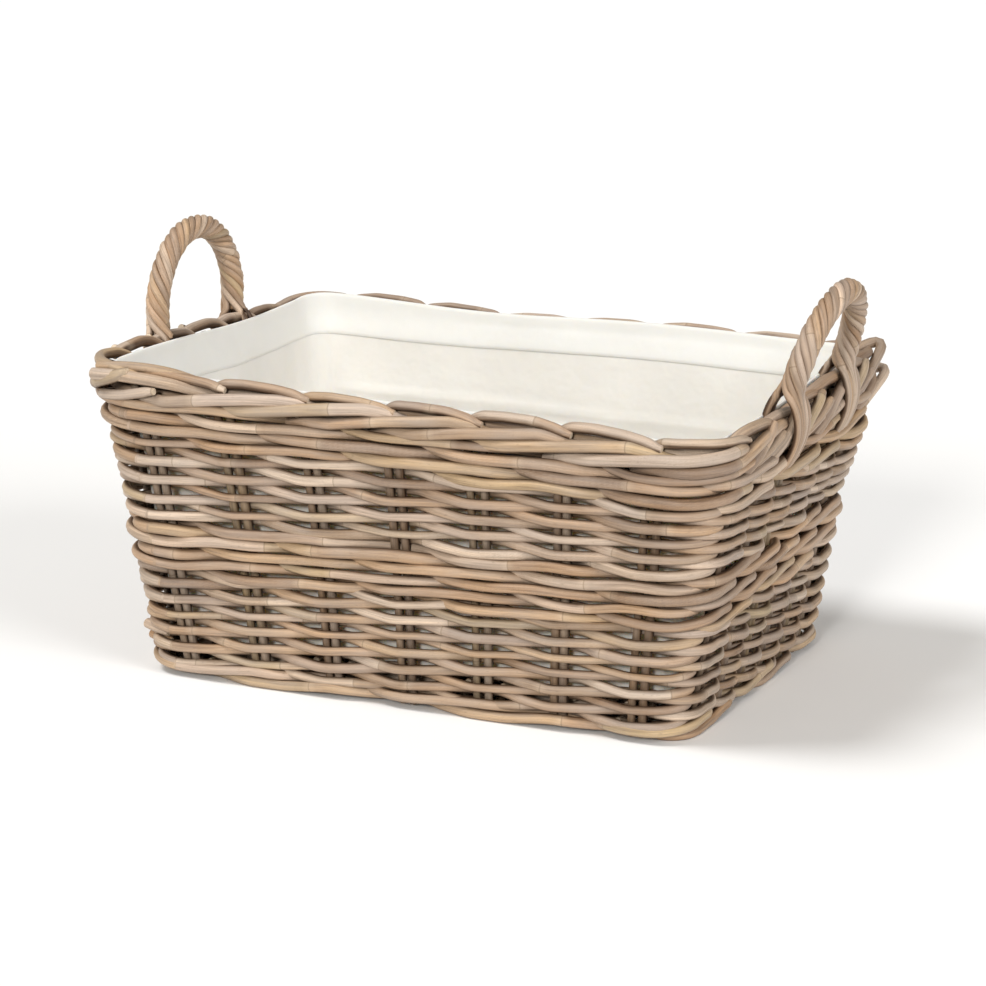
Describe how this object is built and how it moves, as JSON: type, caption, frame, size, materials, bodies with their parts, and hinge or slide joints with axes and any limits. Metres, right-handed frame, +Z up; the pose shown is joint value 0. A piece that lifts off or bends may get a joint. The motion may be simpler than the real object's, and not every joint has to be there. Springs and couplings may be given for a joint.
{
  "type": "wicker log basket",
  "caption": "Rectangular tapered rattan log basket with woven walls, waled bands, rolled border, roped hoop handles at both ends and a lift-out cotton liner.",
  "frame": {"origin": "on the floor, under the middle of the basket", "axes": "+Z up, X along the long side, Y from front to back; a handle stands at each end of X"},
  "size_m": [0.6286, 0.4276, 0.374],
  "materials": {
    "weave_rattan": "natural grey-brown rattan, low sheen",
    "wale_rattan": "natural grey-brown rattan, low sheen",
    "border_rattan": "thick natural rattan, low sheen",
    "handle_rattan": "roped rattan strands, low sheen",
    "stake_rattan": "dark natural rattan",
    "base_rattan": "natural rattan, matt",
    "liner_cotton": "unbleached cotton, matt",
    "liner_hem": "unbleached cotton facing, matt"
  },
  "bodies": {
    "basket": {"base_hoop": "base_rattan", "base_sticks": "base_rattan", "base_lower_canes": "base_rattan", "base_upper_canes": "base_rattan", "front_stakes": "stake_rattan", "front_foot_wale": "wale_rattan", "front_lower_weave": "weave_rattan", "front_middle_wale": "wale_rattan", "front_upper_weave": "weave_rattan", "front_upper_wale": "wale_rattan", "front_border": "border_rattan", "right_stakes": "stake_rattan", "right_foot_wale": "wale_rattan", "right_lower_weave": "weave_rattan", "right_middle_wale": "wale_rattan", "right_upper_weave": "weave_rattan", "right_upper_wale": "wale_rattan", "right_border": "border_rattan", "back_stakes": "stake_rattan", "back_foot_wale": "wale_rattan", "back_lower_weave": "weave_rattan", "back_middle_wale": "wale_rattan", "back_upper_weave": "weave_rattan", "back_upper_wale": "wale_rattan", "back_border": "border_rattan", "left_stakes": "stake_rattan", "left_foot_wale": "wale_rattan", "left_lower_weave": "weave_rattan", "left_middle_wale": "wale_rattan", "left_upper_weave": "weave_rattan", "left_upper_wale": "wale_rattan", "left_border": "border_rattan", "left_handle_bow": "stake_rattan", "left_handle_wrap": "handle_rattan", "left_handle_tails": "handle_rattan", "right_handle_bow": "stake_rattan", "right_handle_wrap": "handle_rattan", "right_handle_tails": "handle_rattan"},
    "liner": {"liner_floor": "liner_cotton", "liner_hem": "liner_hem", "liner_front_panel": "liner_cotton", "liner_right_panel": "liner_cotton", "liner_back_panel": "liner_cotton", "liner_left_panel": "liner_cotton"}
  },
  "joints": [
    {"name": "liner_lift", "type": "slide", "parent": "basket", "child": "liner", "axis": [0, 0, 1], "range_m": [0, 0.36]}
  ]
}
